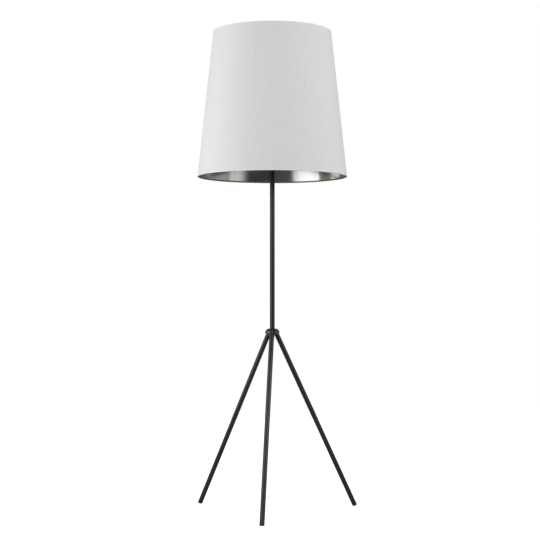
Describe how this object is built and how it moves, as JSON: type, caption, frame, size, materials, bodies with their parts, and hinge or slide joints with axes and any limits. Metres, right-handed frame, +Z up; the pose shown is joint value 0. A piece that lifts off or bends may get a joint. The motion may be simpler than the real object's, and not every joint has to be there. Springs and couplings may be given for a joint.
{
  "type": "tripod floor lamp",
  "caption": "Floor lamp with straight black tube legs in a turned hub, a slim stem, and a tall tapered drum shade with a silver lining on a harp and spider.",
  "frame": {"origin": "on the floor, in the middle of the lamp's footprint box; the stem axis stands 36.0 mm behind it, because the front foot reaches further forward than the shade does backward", "axes": "+Z up along the stem; the front leg points along -Y and the other two legs are at 120 degrees to it, mirrored about the plane X = 0"},
  "size_m": [0.606, 0.6243, 1.765],
  "materials": {
    "black_coat": "satin",
    "zinc_steel": "satin",
    "black_rubber": "matte",
    "black_plastic": "satin",
    "brass": "satin",
    "card_liner": "matte",
    "phenolic": "satin",
    "opal_glass": "satin",
    "bulb_metal": "satin",
    "shade_fabric": "matte",
    "hem_tape": "matte",
    "silver_lining": "polished",
    "white_wire": "gloss"
  },
  "bodies": {
    "root": {"hub": "black_coat", "hub_washer": "zinc_steel", "hub_nut": "zinc_steel", "cord_bushing": "black_plastic", "leg_front": "black_coat", "leg_right": "black_coat", "leg_left": "black_coat", "leg_inserts": "zinc_steel", "leg_studs": "zinc_steel", "foot_front": "black_rubber", "foot_right": "black_rubber", "foot_left": "black_rubber", "stem": "black_coat", "lamp_pipe": "zinc_steel", "stem_cap": "black_coat", "harp_saddle": "brass", "harp": "brass", "harp_stud": "brass", "socket_cap": "brass", "cap_set_screw": "zinc_steel", "socket_shell": "brass", "socket_insulator": "card_liner", "socket_body": "phenolic", "terminal_screws": "zinc_steel", "screw_shell": "brass", "centre_contact": "brass"},
    "shade": {"shade_cover": "shade_fabric", "shade_lining": "silver_lining", "shade_spider": "white_wire", "shade_top_ring": "white_wire", "shade_bottom_ring": "white_wire", "shade_top_trim": "hem_tape", "shade_bottom_trim": "hem_tape"},
    "finial": {"finial": "brass"},
    "bulb": {"bulb_globe": "opal_glass", "bulb_cap": "bulb_metal", "bulb_insulator": "black_plastic", "bulb_contact": "bulb_metal"},
    "switch": {"switch_shaft": "zinc_steel", "switch_knob": "black_plastic"},
    "sleeve_left": {"harp_sleeve_left": "brass"},
    "sleeve_right": {"harp_sleeve_right": "brass"}
  },
  "joints": [
    {"name": "shade_turn", "type": "hinge", "parent": "root", "child": "shade", "pos_m": [0, 0.03596, 1.739], "axis": [0, 0, 1], "continuous": true},
    {"name": "finial_turn", "type": "hinge", "parent": "root", "child": "finial", "pos_m": [0, 0.03596, 1.741], "axis": [0, 0, 1], "continuous": true},
    {"name": "bulb_turn", "type": "hinge", "parent": "root", "child": "bulb", "pos_m": [0, 0.03596, 1.473], "axis": [0, 0, 1], "continuous": true},
    {"name": "switch_turn", "type": "hinge", "parent": "root", "child": "switch", "pos_m": [0, 0.01796, 1.46], "axis": [0, -1, 0], "continuous": true},
    {"name": "sleeve_left_lift", "type": "slide", "parent": "root", "child": "sleeve_left", "axis": [0, 0, 1], "range_m": [0, 0.012]},
    {"name": "sleeve_right_lift", "type": "slide", "parent": "root", "child": "sleeve_right", "axis": [0, 0, 1], "range_m": [0, 0.012]}
  ]
}
